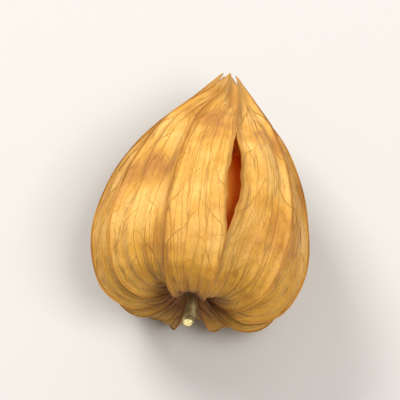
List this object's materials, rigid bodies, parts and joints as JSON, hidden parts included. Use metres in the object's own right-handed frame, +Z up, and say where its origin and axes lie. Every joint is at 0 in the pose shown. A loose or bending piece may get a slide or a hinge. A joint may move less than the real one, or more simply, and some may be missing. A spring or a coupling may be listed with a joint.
{
  "type": "physalis berry in its husk",
  "caption": "Ripe physalis berry inside its dry, ribbed, golden paper husk, with a short cut stem, lying on its side.",
  "frame": {"origin": "on the table, under the middle of the box round the whole fruit", "axes": "+Y runs along the fruit from the stem end to the tip, with the husk's own axis turned 9 degrees from it towards +X; +Z is up; +X is to the right when looking from the stem end to the tip"},
  "size_m": [0.0314, 0.0396, 0.0296],
  "materials": {
    "husk_paper": "matte",
    "berry_skin": "gloss",
    "stem_bark": "matte"
  },
  "bodies": {
    "root": {"husk": "husk_paper", "berry": "berry_skin", "stem": "stem_bark"}
  },
  "joints": []
}
